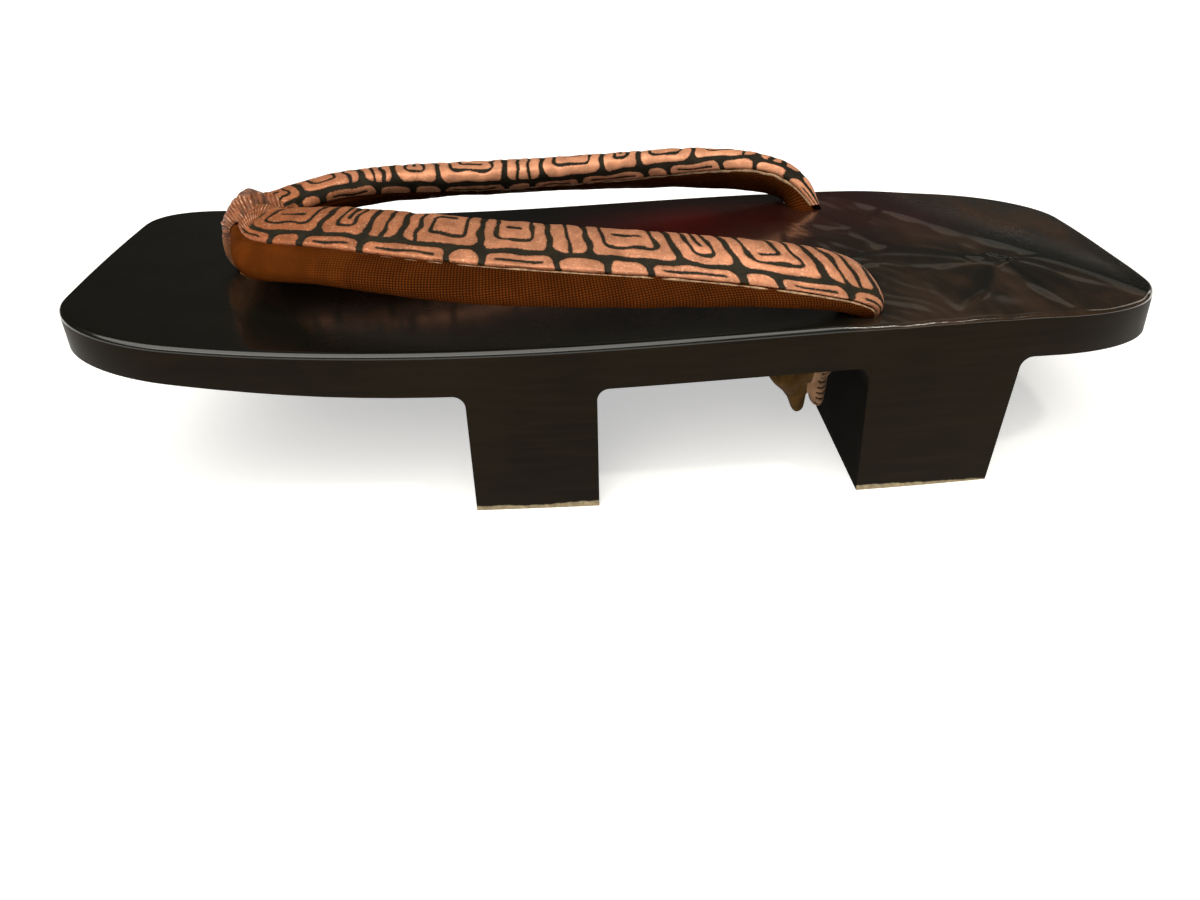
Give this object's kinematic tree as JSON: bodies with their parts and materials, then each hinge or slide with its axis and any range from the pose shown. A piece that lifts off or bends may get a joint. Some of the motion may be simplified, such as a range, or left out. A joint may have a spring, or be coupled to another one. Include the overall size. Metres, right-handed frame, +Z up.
{
  "type": "geta sandal",
  "caption": "Lacquered wooden sandal on two cross teeth, with a padded V-shaped strap held by a toe loop and knotted under the deck.",
  "frame": {"origin": "on the floor under the middle of the block", "axes": "+X runs from the toe to the heel, +Y from the side nearest the picture to the far side, +Z is up"},
  "size_m": [0.235, 0.0926, 0.0579],
  "materials": {
    "lacquered_wood": "dark lacquer, glossy on top and satin on the sides",
    "printed_leather": "crinkled copper leather with dark lines",
    "brown_cloth": "matt finely ribbed brown cloth",
    "pleated_cloth": "matt brown cloth in fine pleats",
    "knot_cloth": "matt brown cloth"
  },
  "bodies": {
    "root": {"platform": "lacquered_wood", "strap_face": "printed_leather", "strap_lining": "brown_cloth", "toe_loop": "pleated_cloth", "toe_knot": "knot_cloth", "strap_knot_near": "knot_cloth", "strap_knot_far": "knot_cloth"}
  },
  "joints": []
}
